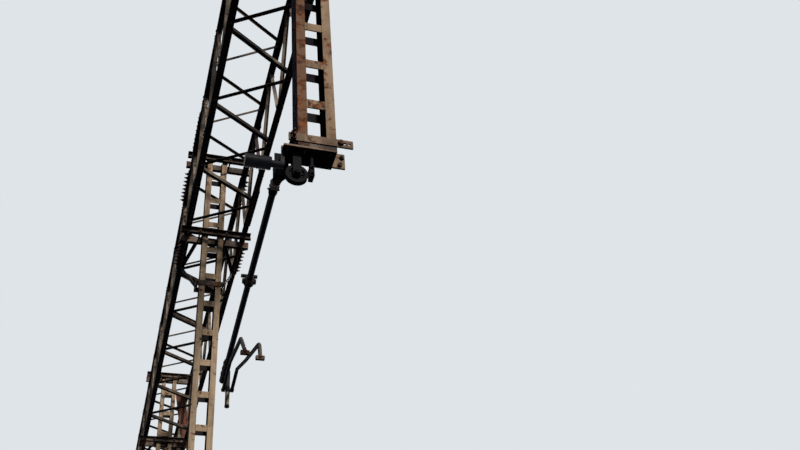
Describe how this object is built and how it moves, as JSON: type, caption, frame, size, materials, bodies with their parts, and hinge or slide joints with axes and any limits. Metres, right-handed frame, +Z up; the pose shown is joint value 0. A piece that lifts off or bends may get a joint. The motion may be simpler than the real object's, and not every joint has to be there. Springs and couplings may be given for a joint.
{
  "type": "railway catenary portal",
  "caption": "Lattice portal over railway tracks, with battened drop posts hung from its crossbeam and slewing cantilevers with lifting steady arms.",
  "frame": {"origin": "on the ground under the near column, in the middle of its base plate", "axes": "+X along the track, +Y along the crossbeam towards the far column, +Z up"},
  "size_m": [1.06, 20.06, 10.07],
  "materials": {
    "beam_chords": "old black-brown paint, lit edges worn to rust",
    "beam_lacing": "old black-brown paint",
    "clamps": "rusted dark paint",
    "post_channels": "weathered grey-brown paint with rust stains",
    "post_battens": "weathered grey-brown paint with rust stains",
    "feet": "weathered grey-brown paint with rust stains",
    "column_chords": "weathered brown paint",
    "column_lacing": "weathered brown paint",
    "porcelain": "brown glazed porcelain",
    "tubes": "dark weathered tube",
    "fittings": "cast fittings, dull",
    "pulley_iron": "cast iron wheel",
    "sleeve": "dark sleeve with a blue sheen"
  },
  "bodies": {
    "portal": {"bottom_lacing": "beam_lacing", "bottom_left_chord": "beam_chords", "bottom_right_chord": "beam_chords", "chord_splices": "clamps", "far_column_base": "column_chords", "far_column_cap": "column_chords", "far_column_chords": "column_chords", "far_column_far_lacing": "column_lacing", "far_column_left_lacing": "column_lacing", "far_column_near_lacing": "column_lacing", "far_column_right_lacing": "column_lacing", "far_end_frame": "beam_lacing", "left_lacing": "beam_lacing", "near_column_base": "column_chords", "near_column_cap": "column_chords", "near_column_chords": "column_chords", "near_column_far_lacing": "column_lacing", "near_column_left_lacing": "column_lacing", "near_column_near_lacing": "column_lacing", "near_column_right_lacing": "column_lacing", "near_end_frame": "beam_lacing", "post_1_band": "clamps", "post_1_battens": "post_battens", "post_1_channels": "post_channels", "post_1_clamps": "clamps", "post_1_foot": "feet", "post_1_hinge_bracket": "feet", "post_2_band": "clamps", "post_2_battens": "post_battens", "post_2_cantilever": "tubes", "post_2_channels": "post_channels", "post_2_clamps": "clamps", "post_2_foot": "feet", "post_3_band": "clamps", "post_3_battens": "post_battens", "post_3_cantilever": "tubes", "post_3_channels": "post_channels", "post_3_clamps": "clamps", "post_3_foot": "feet", "pulley_stirrup": "feet", "right_lacing": "beam_lacing", "top_lacing": "beam_lacing", "top_left_chord": "beam_chords", "top_right_chord": "beam_chords", "wire_guide": "feet", "wire_sleeve": "sleeve"},
    "cantilever": {"insulator": "porcelain", "tube": "tubes", "messenger_clamp": "fittings", "drop_bracket": "fittings"},
    "left_steady_arm": {"steady_arm_left": "tubes"},
    "right_steady_arm": {"steady_arm_right": "tubes"},
    "pulley": {"pulley": "pulley_iron"}
  },
  "joints": [
    {"name": "cantilever_slew", "type": "hinge", "parent": "portal", "child": "cantilever", "pos_m": [-0.145, 5.387, 5.96], "axis": [0, 0, 1], "range_deg": [-35, 35]},
    {"name": "left_arm_lift", "type": "hinge", "parent": "cantilever", "child": "left_steady_arm", "pos_m": [-0.09707, 7.71652, 5.795], "axis": [-0.9997, 0.0244, 0], "range_deg": [0, 10]},
    {"name": "right_arm_lift", "type": "hinge", "parent": "cantilever", "child": "right_steady_arm", "pos_m": [-0.03109, 7.71491, 5.795], "axis": [-0.9997, 0.0244, 0], "range_deg": [0, 10]},
    {"name": "pulley_spin", "type": "hinge", "parent": "portal", "child": "pulley", "pos_m": [-0.063, 5.25, 5.853], "axis": [0, 1, 0], "continuous": true}
  ]
}
